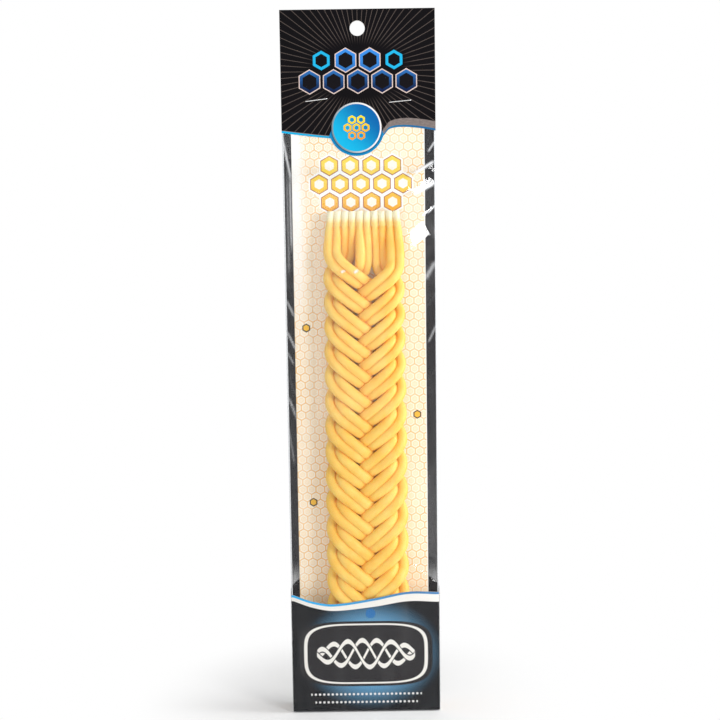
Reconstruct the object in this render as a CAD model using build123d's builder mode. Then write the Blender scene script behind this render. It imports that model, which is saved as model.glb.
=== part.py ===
"""Plaited candle of ten beeswax strands in its hanging retail pack.

The frame has +Z up along the candle and the pack's front towards -Y. The origin is the
centre of the hang hole at the rear face of the header card. All sizes are in mm.
"""
import math
import os

from build123d import *

os.makedirs("parts", exist_ok=True)

# Candle: every size of the plait follows from the strand, so the strands keep clear of each other
CANDLE_LENGTH = 304.0        # foot to wick tips
STRAND_D = 5.75              # one strand at the foot
TIP_SHARE = 0.72             # a strand's diameter at its tip, as a share of the foot's
STRAND_GAP = 0.25            # air between the two strands of a pair
WICK_SHOW = 7.5              # bare, pale end of each wick above the wax
WICK_TIP_D = 0.68 * STRAND_D
WICK_D = 0.28 * STRAND_D
WICK_AIR = 0.2               # room around a wick in its strand
WICK_TIP_SHAPE = ((0.0, 1.0), (0.65, 0.97), (0.88, 0.85), (1.0, 0.5))  # share of height, share of width
CANDLE_X = 2.0               # the candle lies this far right of the pack's middle

# Plait: five pairs of strands, each going over two pairs and under two, edge to edge in five steps
PLAIT_START = 24.0           # wick tips to the first step
STEP_TOP = 1.252 * STRAND_D  # fall of the plait in its first step
STEP_GROWTH = 0.0063 * STRAND_D
SWING = 3.3 * STRAND_D       # middle of the candle to the middle of a pair at the edge
DEPTH = 0.87 * STRAND_D      # how far a pair comes forward or goes back
CORNER = 0.85                # shape of the turn at the edges: 1 is a sharp corner, 0 a sine wave
DIVE_SOFT = 1.0              # how gently a pair passes from front to back
DIVE_EDGE = 0.6              # that passage is gentler at the edges and quicker in the middle
DIVE_LEAD = 0.1              # the outer strand of a pair dives first
NECK = 0.165                 # strands are squeezed by this share where they dive
NECK_REACH = 1.05            # steps over which the squeeze fades
ROW_SHARE = 0.947            # the straight row at the tips is a little narrower than the plait
EASE = 0.3                   # steps in which a pair leaves the row
PAIR_PHASE = (0, 2, 4, 8, 6)  # each pair's place in the cycle, in steps
PAIRS = len(PAIR_PHASE)
RING_STEP = 0.2              # plait steps from one cross section to the next
WICK_RING_STEP = 0.4
FOOT_TURN = 0.75 * STRAND_D  # height in which a strand's cross section turns level at the foot
FOOT_REACH = 3 * STRAND_D    # a strand's line ends within this of the foot
NUDGE = 0.01                 # small part of a step, for slopes

# Sheets of the pack
HEADER_T = 0.5
FILM_T = 0.2
CARD_T = 0.6
PACK_W = 92.0
SEAM = 0.4                   # welded edge of the sleeve
SEAM_AIR = 0.2               # seam to the sides of the pocket
CANDLE_AIR = 0.4             # room in front of and behind the candle
SHEET_AIR = 0.15

# Header card
HOLE_D = 9.0
HOLE_DROP = 11.3             # top edge to hole centre
HEADER_H = 72.0              # top edge to the lower corners
SLOT_DROP = 24.0             # top edge to the top of the slot that takes the sleeve
LOBE_R = 16.7                # round lobe of the front leaf
LOBE_X = -1.2
LOBE_UP = 2.5                # lower corners to the lobe's centre
LOBE_LAP = 1.0               # the front edge runs into the lobe by this much
EDGE_DIP = 3.6               # it falls by this much on its way there
EDGE_RISE = 2.5              # and rises by this much right of the lobe
RISE_RUN = 7.5               # lobe to the top of that rise

# Sleeve and pocket
LOBE_AIR = 1.0
SLOPE_H = 20.0               # height in which the front film comes out over the candle
HEADROOM = 13.0              # wick tips to the sloped film
TENT_AIR = 1.5               # candle's edge to the crease in the film
FLAP_H = 73.3                # pocket flap at its left edge
FLAP_DIP = 5.7               # its edge falls by this much
FLAP_DIP_IN = 24.6           # left edge to the lowest point
FLAP_CREST = 1.7             # and rises by this much
FLAP_CREST_IN = 14.1         # right edge to the highest point
FLAP_RIGHT = 0.7             # right end over the left end
FLAP_AIR = 2.0               # flap's crest to where the film folds in
FOLD_H = 18.0                # height of that fold

# Staples
STAPLE_W = 13.0              # between the middles of the legs
STAPLE_WIRE = 0.6
STAPLE_BEND = 0.5
STAPLE_CLINCH = 4.0          # length of the folded legs
STAPLE_AIR = 0.05
LEG_AIR = 0.15               # room around a leg in its hole
STAPLES = (                  # side, inset from it, height over the header's lower corners, tilt in degrees
    ("staple_left", -1, 21.0, 19.0, 6.5),
    ("staple_right", 1, 21.1, 17.7, 5.0),
)

# Planes across the pack, from the rear face forward
FILM_BACK_Y = -HEADER_T
CARD_BACK_Y = FILM_BACK_Y - FILM_T
CARD_FACE_Y = CARD_BACK_Y - CARD_T
LEAF_BACK_Y = CARD_FACE_Y - FILM_T
LEAF_FACE_Y = LEAF_BACK_Y - HEADER_T
CANDLE_T = 2 * DEPTH + STRAND_D
CANDLE_Y = CARD_FACE_Y - CANDLE_AIR - CANDLE_T / 2
FLAP_BACK_Y = CARD_FACE_Y - 2 * CANDLE_AIR - CANDLE_T
FLAP_FACE_Y = FLAP_BACK_Y - CARD_T

# Heights, from the hang hole
PACK_TOP = HOLE_DROP
SLOT_TOP = PACK_TOP - SLOT_DROP
SHEET_TOP = SLOT_TOP - SHEET_AIR
LEAF_LOW = PACK_TOP - HEADER_H
LOBE_Z = LEAF_LOW + LOBE_UP
FILM_FLAT_Z = LOBE_Z - LOBE_R - LOBE_AIR
SHOULDER_Z = FILM_FLAT_Z - SLOPE_H
TIP_Z = SHOULDER_Z - HEADROOM
FOOT_Z = TIP_Z - CANDLE_LENGTH
BASE_Z = FOOT_Z - CARD_T
PACK_LOW = BASE_Z - FILM_T

# Widths
SEAM_X = PACK_W / 2 - SEAM
POCKET_X = SEAM_X - SEAM_AIR
CARD_W = 2 * (POCKET_X - FILM_T - SHEET_AIR)
TENT_X = SWING + STRAND_D + abs(CANDLE_X) + TENT_AIR

# Steps at which each pair leaves the row: the pairs next to the edges wait at half the swing
HALF_SWING_STEP = math.acos(math.sin(math.asin(CORNER) / 2) / CORNER) * PAIRS / math.pi
HOLD = (0.0, 2 - HALF_SWING_STEP, 1.5, 3 - HALF_SWING_STEP, 1.0)


def smooth(share):
    """Ease from 0 to 1."""
    share = min(max(share, 0.0), 1.0)
    return share * share * (3 - 2 * share)


def fall(step):
    """Distance that the plait has come down from the wick tips."""
    return PLAIT_START + STEP_TOP * step + STEP_GROWTH / 2 * max(step, 0.0) ** 2


def step_at(drop):
    """Step at which the plait has come down by drop, below its start."""
    left = drop - PLAIT_START
    return (math.sqrt(STEP_TOP ** 2 + 2 * STEP_GROWTH * left) - STEP_TOP) / STEP_GROWTH


WAX_STEP = (WICK_SHOW - PLAIT_START) / STEP_TOP


def spread(step):
    """Share of the way from the straight row to the plait."""
    return smooth(1 - step / WAX_STEP)


def turn(pair, step):
    """Angle of a pair in its cycle from edge to edge and back."""
    late = (step - HOLD[pair]) / EASE
    gone = EASE * (max(late, 0.0) + math.log1p(math.exp(-abs(late))))
    return (HOLD[pair] + gone - PAIR_PHASE[pair]) * math.pi / PAIRS


def sway(pair, step):
    """Sideways place of a pair's middle."""
    share = math.asin(CORNER * math.cos(turn(pair, step))) / math.asin(CORNER)
    return -SWING * share * (ROW_SHARE + (1 - ROW_SHARE) * spread(step))


def girth(pair, step):
    """Diameter of a strand."""
    taper = 1 - (1 - TIP_SHARE) * (1 - fall(step) / CANDLE_LENGTH) ** 2
    from_dive = turn(pair, step) * PAIRS / math.pi % PAIRS - PAIRS / 2
    squeeze = NECK * spread(step) * math.exp(-(from_dive / NECK_REACH) ** 2)
    return STRAND_D * taper * (1 - squeeze)


def strand_point(pair, side, step):
    """Point on a strand's centre line; side is 1 for the left strand of a pair and -1 for the right."""
    angle = turn(pair, step)
    dive = math.sin(2 * angle + DIVE_LEAD * side * math.sin(angle))
    soft = DIVE_SOFT * (1 + DIVE_EDGE * math.cos(2 * angle))
    forward = DEPTH * spread(step) * dive * math.sqrt((1 + soft ** 2) / (dive ** 2 + soft ** 2))
    run = fall(step + NUDGE) - fall(step - NUDGE)
    slope = (sway(pair, step + NUDGE) - sway(pair, step - NUDGE)) / run
    half = side * (girth(pair, step) + STRAND_GAP) / 2 / math.hypot(1, slope)
    x = CANDLE_X + sway(pair, step) - half
    return Vector(x, CANDLE_Y - forward, TIP_Z - fall(step) - half * slope)


def ring_plane(pair, side, step):
    """Plane across a strand."""
    along = strand_point(pair, side, step + NUDGE) - strand_point(pair, side, step - NUDGE)
    return Plane(strand_point(pair, side, step), x_dir=Vector(0, 1, 0).cross(along), z_dir=along)


def steps(first, last, spacing):
    """Evenly spaced steps from first to last."""
    count = math.ceil((last - first) / spacing)
    return [first + (last - first) * i / count for i in range(count + 1)]


def foot_step(pair, side, height):
    """Step at which a strand's line is at a height over the foot."""
    low = step_at(CANDLE_LENGTH - FOOT_REACH)
    high = step_at(CANDLE_LENGTH + FOOT_REACH)
    while high - low > NUDGE ** 3:
        middle = (low + high) / 2
        if strand_point(pair, side, middle).Z > FOOT_Z + height:
            low = middle
        else:
            high = middle
    return low


def foot_plane(pair, side):
    """Level plane at the end of a strand's line."""
    end = strand_point(pair, side, foot_step(pair, side, 0))
    return Plane(Vector(end.X, end.Y, FOOT_Z), x_dir=(-1, 0, 0), z_dir=(0, 0, -1))


def ring_line(pair, side, spacing):
    """Planes and steps of the rings along a strand, from the wax's top to its foot."""
    last = foot_step(pair, side, FOOT_TURN)
    line = [(ring_plane(pair, side, step), step) for step in steps(WAX_STEP, last, spacing)]
    return line + [(foot_plane(pair, side), last)]


def skin(rings):
    """Ruled faces from each ring to the next."""
    return [Face.make_surface_from_curves(ring, after) for ring, after in zip(rings, rings[1:])]


def make_strand(pair, side, label):
    """One wax strand with the bore for its wick."""
    outside = [
        Edge.make_circle(girth(pair, step) / 2, plane)
        for plane, step in ring_line(pair, side, RING_STEP)
    ]
    bore = [
        Edge.make_circle(WICK_D / 2 + WICK_AIR, plane)
        for plane, step in reversed(ring_line(pair, side, WICK_RING_STEP))
    ]
    with BuildPart() as strand:
        add(Solid(Shell(skin(outside + bore + outside[:1]))))
    strand.part.label = label
    export_step(strand.part, f"parts/{label}.step")


def make_wick(pair, side, label):
    """One wick, with the thicker wax-coated tip that stands out of its strand."""
    core = [
        Edge.make_circle(WICK_D / 2, plane)
        for plane, step in reversed(ring_line(pair, side, WICK_RING_STEP))
    ]
    tip = []
    for height, share in WICK_TIP_SHAPE:
        step = WAX_STEP - (WICK_AIR + (WICK_SHOW - WICK_AIR) * height) / STEP_TOP
        tip.append(Edge.make_circle(WICK_TIP_D / 2 * share, ring_plane(pair, side, step)))
    neck = Edge.make_circle(WICK_D / 2, ring_plane(pair, side, WAX_STEP - WICK_AIR / STEP_TOP))
    rings = core + [neck] + tip
    ends = [Face(Wire([rings[0]])), Face(Wire([rings[-1]]))]
    with BuildPart() as wick:
        add(Solid(Shell(skin(rings) + ends)))
    wick.part.label = label
    export_step(wick.part, f"parts/{label}.step")


for pair in range(PAIRS):
    for side in (1, -1):
        number = 2 * pair + (1 if side == 1 else 2)
        make_strand(pair, side, f"strand_{number:02d}")
        make_wick(pair, side, f"wick_{number:02d}")

# Holes of the staple legs, through every sheet under the header
with BuildSketch(Plane.XZ) as leg_holes:
    for label, side, inset, height, tilt in STAPLES:
        with Locations(Location((side * (PACK_W / 2 - inset), LEAF_LOW + height), tilt)):
            with GridLocations(STAPLE_W, 0, 2, 1):
                Circle(STAPLE_WIRE / 2 + LEG_AIR)

# Header card, folded over the mouth of the sleeve
with BuildPart() as header_card:
    with BuildSketch(Plane.XZ.offset(-LEAF_BACK_Y)) as front_leaf:
        with BuildLine():
            edge_left = (-PACK_W / 2, LEAF_LOW)
            edge_right = (PACK_W / 2, LEAF_LOW)
            dip = (LOBE_X - LOBE_R + LOBE_LAP, LEAF_LOW - EDGE_DIP)
            rise = (LOBE_X + LOBE_R + RISE_RUN, LEAF_LOW + EDGE_RISE)
            Polyline(edge_left, (-PACK_W / 2, PACK_TOP), (PACK_W / 2, PACK_TOP), edge_right)
            Spline(edge_left, dip, (LOBE_X + LOBE_R, LEAF_LOW), rise, edge_right)
        make_face()
        with Locations((LOBE_X, LOBE_Z)):
            Circle(LOBE_R)
    extrude(amount=HEADER_T)
    with BuildSketch(Plane.XZ):
        with Locations((0, (LEAF_LOW + PACK_TOP) / 2)):
            Rectangle(PACK_W, HEADER_H)
    extrude(amount=HEADER_T)
    with BuildSketch(Plane.XZ):
        with Locations((0, (SLOT_TOP + PACK_TOP) / 2)):
            Rectangle(PACK_W, SLOT_DROP)
    extrude(amount=-LEAF_FACE_Y)
    with BuildSketch(Plane.XZ):
        Circle(HOLE_D / 2)
    extrude(amount=-LEAF_FACE_Y, mode=Mode.SUBTRACT)
    extrude(leg_holes.sketch, amount=-2 * LEAF_FACE_Y, both=True, mode=Mode.SUBTRACT)
header_card.part.label = "header_card"
export_step(header_card.part, "parts/header_card.step")

# Insert card: back panel, base under the candle and the flap of the pocket
with BuildPart() as insert_card:
    with BuildSketch(Plane.XZ.offset(-CARD_BACK_Y)):
        with Locations((0, (SHEET_TOP + BASE_Z) / 2)):
            Rectangle(CARD_W, SHEET_TOP - BASE_Z)
    extrude(amount=CARD_T)
    with BuildSketch(Plane.XY.offset(BASE_Z)):
        with Locations((0, (CARD_BACK_Y + FLAP_FACE_Y) / 2)):
            Rectangle(CARD_W, CARD_BACK_Y - FLAP_FACE_Y)
    extrude(amount=CARD_T)
    with BuildSketch(Plane.XZ.offset(-FLAP_BACK_Y)):
        with BuildLine():
            flap_left = (-CARD_W / 2, BASE_Z + FLAP_H)
            flap_right = (CARD_W / 2, BASE_Z + FLAP_H + FLAP_RIGHT)
            flap_dip = (-CARD_W / 2 + FLAP_DIP_IN, BASE_Z + FLAP_H - FLAP_DIP)
            flap_crest = (CARD_W / 2 - FLAP_CREST_IN, BASE_Z + FLAP_H + FLAP_CREST)
            Polyline(flap_left, (-CARD_W / 2, BASE_Z), (CARD_W / 2, BASE_Z), flap_right)
            Spline(flap_left, flap_dip, flap_crest, flap_right)
        make_face()
    extrude(amount=CARD_T)
    extrude(leg_holes.sketch, amount=-2 * LEAF_FACE_Y, both=True, mode=Mode.SUBTRACT)
insert_card.part.label = "insert_card"
export_step(insert_card.part, "parts/insert_card.step")

# Front film of the sleeve: box shaped around the pocket, a tent over the candle, flat in the header
FLAP_CLEAR_Z = BASE_Z + FLAP_H + FLAP_CREST + FLAP_AIR
film_sections = (
    (PACK_LOW, POCKET_X, FLAP_FACE_Y),
    (FLAP_CLEAR_Z, POCKET_X, FLAP_FACE_Y),
    (FLAP_CLEAR_Z + FOLD_H, TENT_X, FLAP_FACE_Y),
    (SHOULDER_Z, TENT_X, FLAP_FACE_Y),
    (FILM_FLAT_Z, TENT_X, CARD_FACE_Y),
    (SHEET_TOP, TENT_X, CARD_FACE_Y),
)


def film_section(z, crease_x, inner_y):
    """Cross section of the front film: seams, card's edges and creases."""
    outer = [
        (PACK_W / 2, CARD_BACK_Y - FILM_T),
        (SEAM_X, CARD_BACK_Y - FILM_T),
        (POCKET_X, CARD_FACE_Y - FILM_T),
        (crease_x, inner_y - FILM_T),
    ]
    inner = [
        (crease_x - FILM_T, inner_y),
        (POCKET_X - FILM_T, CARD_FACE_Y),
        (SEAM_X - FILM_T, CARD_BACK_Y),
        (PACK_W / 2, CARD_BACK_Y),
    ]
    left_outer = [(-x, y) for x, y in reversed(outer)]
    left_inner = [(-x, y) for x, y in reversed(inner)]
    return Face(Wire.make_polygon([(x, y, z) for x, y in outer + left_outer + left_inner + inner]))


with BuildPart() as sleeve_front:
    loft([film_section(*section) for section in film_sections], ruled=True)
    with BuildSketch(Plane.XY.offset(PACK_LOW)):
        with BuildLine():
            right = [
                (SEAM_X, CARD_BACK_Y),
                (SEAM_X, CARD_BACK_Y - FILM_T),
                (POCKET_X, CARD_FACE_Y - FILM_T),
                (POCKET_X, FLAP_FACE_Y - FILM_T),
            ]
            left = [(-x, y) for x, y in reversed(right)]
            Polyline(*right, *left, close=True)
        make_face()
    extrude(amount=FILM_T)
    extrude(leg_holes.sketch, amount=-2 * LEAF_FACE_Y, both=True, mode=Mode.SUBTRACT)
sleeve_front.part.label = "sleeve_front"
export_step(sleeve_front.part, "parts/sleeve_front.step")

# Back film of the sleeve, flat
with BuildPart() as sleeve_back:
    with BuildSketch(Plane.XZ.offset(-FILM_BACK_Y)):
        with Locations((0, (SHEET_TOP + PACK_LOW) / 2)):
            Rectangle(PACK_W, SHEET_TOP - PACK_LOW)
    extrude(amount=FILM_T)
    extrude(leg_holes.sketch, amount=-2 * LEAF_FACE_Y, both=True, mode=Mode.SUBTRACT)
sleeve_back.part.label = "sleeve_back"
export_step(sleeve_back.part, "parts/sleeve_back.step")

# Staples, clinched behind the header
for label, side, inset, height, tilt in STAPLES:
    lean = math.radians(tilt)
    across = Vector(math.cos(lean), 0, math.sin(lean))
    upward = Vector(-math.sin(lean), 0, math.cos(lean))
    middle = (side * (PACK_W / 2 - inset), 0, LEAF_LOW + height)
    crown_y = LEAF_FACE_Y - STAPLE_AIR - STAPLE_WIRE / 2
    clinch_y = STAPLE_AIR + STAPLE_WIRE / 2
    half = STAPLE_W / 2
    bends = [
        (-half + STAPLE_CLINCH, clinch_y),
        (-half, clinch_y),
        (-half, crown_y),
        (half, crown_y),
        (half, clinch_y),
        (half - STAPLE_CLINCH, clinch_y),
    ]
    with BuildPart() as staple:
        with BuildLine(Plane(middle, x_dir=across, z_dir=upward)) as wire:
            FilletPolyline(*bends, radius=STAPLE_BEND)
        with BuildSketch(Plane(wire.line @ 0, z_dir=wire.line % 0)):
            Circle(STAPLE_WIRE / 2)
        sweep()
    staple.part.label = label
    export_step(staple.part, f"parts/{label}.step")
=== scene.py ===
"""Looks of the plaited candle in its hanging pack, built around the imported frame.

Shapes are worked out in millimetres, as in the frame's source, and meshes are made in metres.
"""
import math

import bpy
from mathutils import Matrix, Vector, kdtree, noise


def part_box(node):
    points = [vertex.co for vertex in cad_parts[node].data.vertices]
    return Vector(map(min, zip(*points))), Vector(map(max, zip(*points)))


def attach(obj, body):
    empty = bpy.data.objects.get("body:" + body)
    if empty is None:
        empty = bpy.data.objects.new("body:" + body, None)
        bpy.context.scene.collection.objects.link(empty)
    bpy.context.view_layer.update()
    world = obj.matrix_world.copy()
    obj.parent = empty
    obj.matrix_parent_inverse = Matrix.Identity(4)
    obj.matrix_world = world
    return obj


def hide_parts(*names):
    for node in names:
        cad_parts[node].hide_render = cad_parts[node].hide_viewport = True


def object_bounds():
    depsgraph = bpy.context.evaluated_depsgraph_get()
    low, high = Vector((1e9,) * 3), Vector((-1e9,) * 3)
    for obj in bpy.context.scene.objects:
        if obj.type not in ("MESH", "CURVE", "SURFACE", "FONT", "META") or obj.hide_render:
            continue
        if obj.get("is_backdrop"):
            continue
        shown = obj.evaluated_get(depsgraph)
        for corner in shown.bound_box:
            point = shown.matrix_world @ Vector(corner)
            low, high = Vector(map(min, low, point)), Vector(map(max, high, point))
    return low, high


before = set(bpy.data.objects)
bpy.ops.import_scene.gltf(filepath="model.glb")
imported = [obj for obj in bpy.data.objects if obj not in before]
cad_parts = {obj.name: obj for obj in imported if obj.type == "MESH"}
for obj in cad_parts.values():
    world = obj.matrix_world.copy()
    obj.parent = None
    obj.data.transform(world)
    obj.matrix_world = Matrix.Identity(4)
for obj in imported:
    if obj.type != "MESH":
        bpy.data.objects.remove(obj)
cad_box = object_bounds()

MM = 0.001


def node_box(name):
    """Lowest and highest corner of a node, in millimetres."""
    low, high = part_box(name)
    return low / MM, high / MM


# Places that the frame gives
HEADER_LOW, HEADER_HIGH = node_box("header_card")
CARD_LOW, CARD_HIGH = node_box("insert_card")
FILM_LOW = node_box("sleeve_front")[0]
PACK_X = HEADER_HIGH.x
PACK_TOP = HEADER_HIGH.z
PACK_LOW = FILM_LOW.z
CARD_X = CARD_HIGH.x
SHEET_TOP = CARD_HIGH.z
BASE_Z = CARD_LOW.z
TIP_Z = node_box("wick_01")[1].z
FOOT_Z = node_box("strand_01")[0].z
STAPLES = ("staple_left", "staple_right")
STAPLE_BOXES = [node_box(name) for name in STAPLES]

# Sheets, as in the frame's source, with film as thin as real film looks
HEADER_T = 0.5
CARD_T = 0.6
FILM_T = 0.06
LOBE_R = 16.7
LOBE_X = -1.2
LOBE_UP = 2.5  # header's lower corners to the lobe's middle
LOBE_Z = HEADER_LOW.z + LOBE_R
LEAF_LOW = LOBE_Z - LOBE_UP
HOLE_R = 4.5
FOLD_R = (HEADER_HIGH.y - HEADER_LOW.y) / 2
CARD_FOLD_R = 0.9
FLAP_H = 73.3  # pocket flap at its left edge
FLAP_TOP = BASE_Z + FLAP_H

# Candle, as in the frame's source: lengths in millimetres, and steps of the plait
CANDLE_LENGTH = TIP_Z - FOOT_Z
STRAND_D = 5.75
TIP_SHARE = 0.72
STRAND_GAP = 0.25
WICK_SHOW = 7.5  # pale end of each wick above the wax
WICK_TIP_D = 0.68 * STRAND_D
WICK_D = 0.28 * STRAND_D
CANDLE_X = 2.0
CANDLE_Y = -9.5775
PLAIT_START = 24.0
STEP_TOP = 1.252 * STRAND_D
STEP_GROWTH = 0.0063 * STRAND_D
SWING = 3.3 * STRAND_D  # of a pair, from the candle's middle
DEPTH = 0.87 * STRAND_D  # that a pair comes forward or goes back
CORNER = 0.85  # 1 turns sharply at the edges, 0 as a sine wave
DIVE_SOFT = 1.0  # how gently a pair goes from front to back
DIVE_EDGE = 0.6  # more gently at the edges
DIVE_LEAD = 0.1  # the outer strand of a pair dives first
NECK = 0.165  # squeeze where the frame's strands dive
NECK_REACH = 1.05
ROW_SHARE = 0.947  # the row is a little narrower than the plait
EASE = 0.3  # in which a pair leaves the row
PAIR_PHASE = (0, 2, 4, 8, 6)  # each pair's place in the cycle
PAIRS = len(PAIR_PHASE)
SIDES = (1, -1)  # left and right strand of a pair
STRANDS = [(2 * pair + k + 1, pair, side) for pair in range(PAIRS) for k, side in enumerate(SIDES)]
NUDGE = 0.01  # small part of a step, for slopes
HALF_SWING_STEP = math.acos(math.sin(math.asin(CORNER) / 2) / CORNER) * PAIRS / math.pi
HOLD = (0.0, 2 - HALF_SWING_STEP, 1.5, 3 - HALF_SWING_STEP, 1.0)
WAX_STEP = (WICK_SHOW - PLAIT_START) / STEP_TOP
TIP_STEP = -PLAIT_START / STEP_TOP

# Hand-made unevenness of the wax
RING_STEP = 0.1
WICK_RING_STEP = 4 * RING_STEP
RING_SIDES = 20
PRESSED = 0.3  # strands swell by this much, so that neighbours press on each other
SIDE_PRESSED = 0.28  # and by this much more across the plait
ROW_PRESSED = 0.28  # and by this much more where the row spreads into the plait
NECK_KEPT = -0.95  # a strand swells by this share of its neck where it dives
ROW_STEPS = 2.2  # the row of strands lasts for so many steps of the plait
ROW_ENDS = 3.4  # and is all plait from here
ROW_EASE = 0.4  # steps from the wax's top to where that begins
LUMPS = 0.03  # share of the girth
LUMP_SHIFT = 7.3  # so that no two strands have the same lumps
LUMP_ROUND = 0.5  # how fast lumps change around a strand
LUMP_ALONG = 0.55  # and along it
TOP_TAPER = 4.0  # a strand narrows to its wick over this height
TOP_LIP = 0.5  # which starts this far over its end
TOP_PINCH = 0.85  # by this share of the way
TIP_GATHER = 0.035  # the tips stand closer together by this share
TIP_RISE = 1.5  # and are drawn up by about this much
TIP_UNEVEN = 0.5  # but unlike each other by this share
TIP_ROWS = 16
TIP_SUNK = 0.3  # steps that it goes on inside the wax
TIP_FULL = 1.1  # share of the frame's tip
TIP_BLUNT = 0.2  # it narrows by this share at its end
PLIES = 3
PLY_RELIEF = 0.05
PLY_TWIST = 5
FUZZ = 0.06
CREVICE_SHADE_REACH = 1.5  # painted shade deepens the wax's colour this near to another strand
WAX_NEAR = CARD_LOW.y + CARD_T + 0.2  # the wax stays off the flap
WAX_FAR = CARD_HIGH.y - CARD_T - 0.15  # and off the panel behind it


def smooth(share):
    """Ease from 0 to 1."""
    share = min(max(share, 0.0), 1.0)
    return share * share * (3 - 2 * share)


def ramp(value, low, high):
    """Eased share of the way from low to high."""
    return smooth((value - low) / (high - low))


def spaced(first, last, count):
    """Even steps from first to last."""
    return [first + (last - first) * i / count for i in range(count + 1)]


def curve_at(points, x):
    """Height at x of the smooth line through points, which go from left to right."""
    last = len(points) - 1
    i = 0
    while i < last - 1 and x > points[i + 1][0]:
        i += 1

    def slope(k):
        before, after = points[max(k - 1, 0)], points[min(k + 1, last)]
        return (after[1] - before[1]) / (after[0] - before[0])

    (x0, y0), (x1, y1) = points[i], points[i + 1]
    run = x1 - x0
    t = min(max((x - x0) / run, 0.0), 1.0)
    rise = y1 - y0
    return (y0 + smooth(t) * rise
            + t * (1 - t) ** 2 * run * slope(i) - t * t * (1 - t) * run * slope(i + 1))


# Meshes

SHARP_ANGLE = math.radians(40)


def add_object(name, data):
    """An object of the scene."""
    item = bpy.data.objects.new(name, data)
    bpy.context.scene.collection.objects.link(item)
    return item


def new_piece(name, points, faces, body, materials, indices=None):
    """A smooth mesh of millimetre points that rides on a body."""
    mesh = bpy.data.meshes.new(name)
    mesh.from_pydata([Vector(point) * MM for point in points], [], faces)
    for material in materials:
        mesh.materials.append(material)
    for polygon in mesh.polygons:
        polygon.use_smooth = True
        if indices:
            polygon.material_index = indices[polygon.index]
    mesh.update()
    mesh.set_sharp_from_angle(angle=SHARP_ANGLE)
    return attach(add_object(name, mesh), body)


def tube(rings):
    """Points and faces of a closed tube through rings, with flat ends."""
    sides = len(rings[0])
    points = [point for ring in rings for point in ring]
    faces = []
    for k in range(len(rings) - 1):
        for j in range(sides):
            a, b = k * sides + j, k * sides + (j + 1) % sides
            faces.append((a, b, b + sides, a + sides))
    last = (len(rings) - 1) * sides
    faces.append(tuple(reversed(range(sides))))
    faces.append(tuple(range(last, last + sides)))
    return points, faces


def sheet(rows, thickness, paint):
    """A closed thin solid around rows of points.

    The outer side is the one that the cross product of column and row directions points to.
    paint(side, row, column) gives the material of a face, with side "outer", "inner" or "rim".
    """
    height, width = len(rows), len(rows[0])
    outer, inner = [], []
    for r in range(height):
        for c in range(width):
            across = rows[r][min(c + 1, width - 1)] - rows[r][max(c - 1, 0)]
            along = rows[min(r + 1, height - 1)][c] - rows[max(r - 1, 0)][c]
            normal = across.cross(along).normalized() * (thickness / 2)
            outer.append(rows[r][c] + normal)
            inner.append(rows[r][c] - normal)
    count = height * width
    faces, indices = [], []
    for r in range(height - 1):
        for c in range(width - 1):
            a, b = r * width + c, (r + 1) * width + c
            faces.append((a, a + 1, b + 1, b))
            indices.append(paint("outer", r, c))
            faces.append((count + a, count + b, count + b + 1, count + a + 1))
            indices.append(paint("inner", r, c))
    border = list(range(width))
    border += [r * width + width - 1 for r in range(1, height)]
    border += [(height - 1) * width + c for c in range(width - 2, -1, -1)]
    border += [r * width for r in range(height - 2, 0, -1)]
    for a, b in zip(border, border[1:] + border[:1]):
        faces.append((b, a, count + a, count + b))
        indices.append(paint("rim", a // width, a % width))
    return outer + inner, faces, indices


def add_attribute(piece, name, values):
    """A number for each point of a mesh, which materials read by its name."""
    attribute = piece.data.attributes.new(name, "FLOAT", "POINT")
    attribute.data.foreach_set("value", values)


# Materials

def srgb(*levels):
    """A colour as it shows on screen, from 0 to 255, as linear light."""
    shares = [level / 255 for level in levels]
    light = [share / 12.92 if share <= 0.04045 else ((share + 0.055) / 1.055) ** 2.4 for share in shares]
    return light + [1.0]


class Value:
    """A number that a material works out at each place, so that a pattern reads as a formula."""

    def __init__(self, paint, socket):
        self.paint = paint
        self.socket = socket

    def __add__(self, other):
        return self.paint.math("ADD", self, other)

    def __sub__(self, other):
        return self.paint.math("SUBTRACT", self, other)

    def __rsub__(self, other):
        return self.paint.math("SUBTRACT", other, self)

    def __mul__(self, other):
        return self.paint.math("MULTIPLY", self, other)

    def __truediv__(self, other):
        return self.paint.math("DIVIDE", self, other)

    def __abs__(self):
        return self.paint.math("ABSOLUTE", self)

    __radd__ = __add__
    __rmul__ = __mul__


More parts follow.
